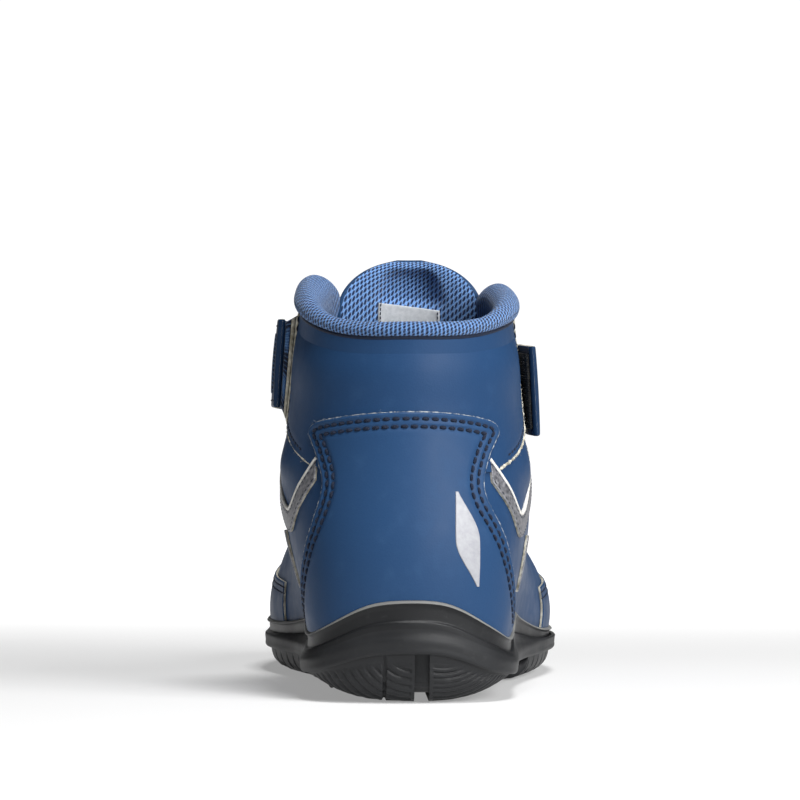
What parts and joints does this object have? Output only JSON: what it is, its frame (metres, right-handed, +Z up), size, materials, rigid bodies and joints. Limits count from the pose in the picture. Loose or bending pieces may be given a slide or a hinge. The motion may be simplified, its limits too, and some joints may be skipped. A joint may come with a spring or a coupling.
{
  "type": "boxing boot",
  "caption": "Mid-cut right boot with a wrapped rubber sole, padded collar, laced throat, padded tongue and an ankle strap closed by hook tape.",
  "frame": {"origin": "bottom centre of the boot's bounding box, on the ground", "axes": "+Y heel to toe, +X to the outer side, +Z up"},
  "size_m": [0.1088, 0.2865, 0.1514],
  "materials": {
    "rubber_sole": "moulded, fine texture",
    "board": "fibre board",
    "sockliner": "knit over foam",
    "stiffener": "plain",
    "foam": "open-cell foam",
    "lining": "knit",
    "knit_mesh": "open knit",
    "eyelet": "satin",
    "lace": "braided",
    "label": "woven, blank",
    "silver_trim": "metallic coated",
    "hook_and_loop": "hook tape",
    "patch": "smooth",
    "blue_leather": "smooth coated"
  },
  "bodies": {
    "boot": {"outsole_cup": "rubber_sole", "heel_tread_lateral": "rubber_sole", "heel_tread_medial": "rubber_sole", "forefoot_tread": "rubber_sole", "insole_board": "board", "sockliner": "sockliner", "heel_counter": "stiffener", "toe_puff": "stiffener", "quarter_lateral": "blue_leather", "quarter_medial": "blue_leather", "vamp": "blue_leather", "mudguard": "blue_leather", "heel_cap": "blue_leather", "collar_panel": "blue_leather", "collar_foam": "foam", "collar_roll": "knit_mesh", "foam_lateral": "foam", "foam_medial": "foam", "lining_heel": "lining", "lining_front": "lining", "eyestay_lateral": "blue_leather", "eyestay_medial": "blue_leather", "eyelets": "eyelet", "lace": "lace", "tongue": "knit_mesh", "chevron_lateral": "silver_trim", "chevron_medial": "silver_trim", "stripe_lateral": "silver_trim", "stripe_medial": "silver_trim", "strap_anchor": "blue_leather", "strap_base": "blue_leather", "loop_pad": "hook_and_loop", "heel_patch": "patch"},
    "strap_front": {"strap_front": "blue_leather"},
    "strap_end": {"strap_end": "blue_leather", "hook_tape": "hook_and_loop"},
    "tongue_top": {"tongue_top": "knit_mesh", "tongue_label": "label"}
  },
  "joints": [
    {"name": "strap_swing", "type": "hinge", "parent": "boot", "child": "strap_front", "pos_m": [-0.05073, -0.06139, 0.11464], "axis": [0.0823, -0.2123, 0.9737], "range_deg": [0, 110]},
    {"name": "strap_peel", "type": "hinge", "parent": "strap_front", "child": "strap_end", "pos_m": [0.03536, -0.04267, 0.10692], "axis": [-0.0938, -0.5046, 0.8582], "range_deg": [0, 95]},
    {"name": "tongue_tip", "type": "hinge", "parent": "boot", "child": "tongue_top", "pos_m": [-0.0036, -0.0465, 0.118], "axis": [-1, 0, 0], "range_deg": [0, 32], "stiffness_Nm_per_rad": 0.05}
  ]
}
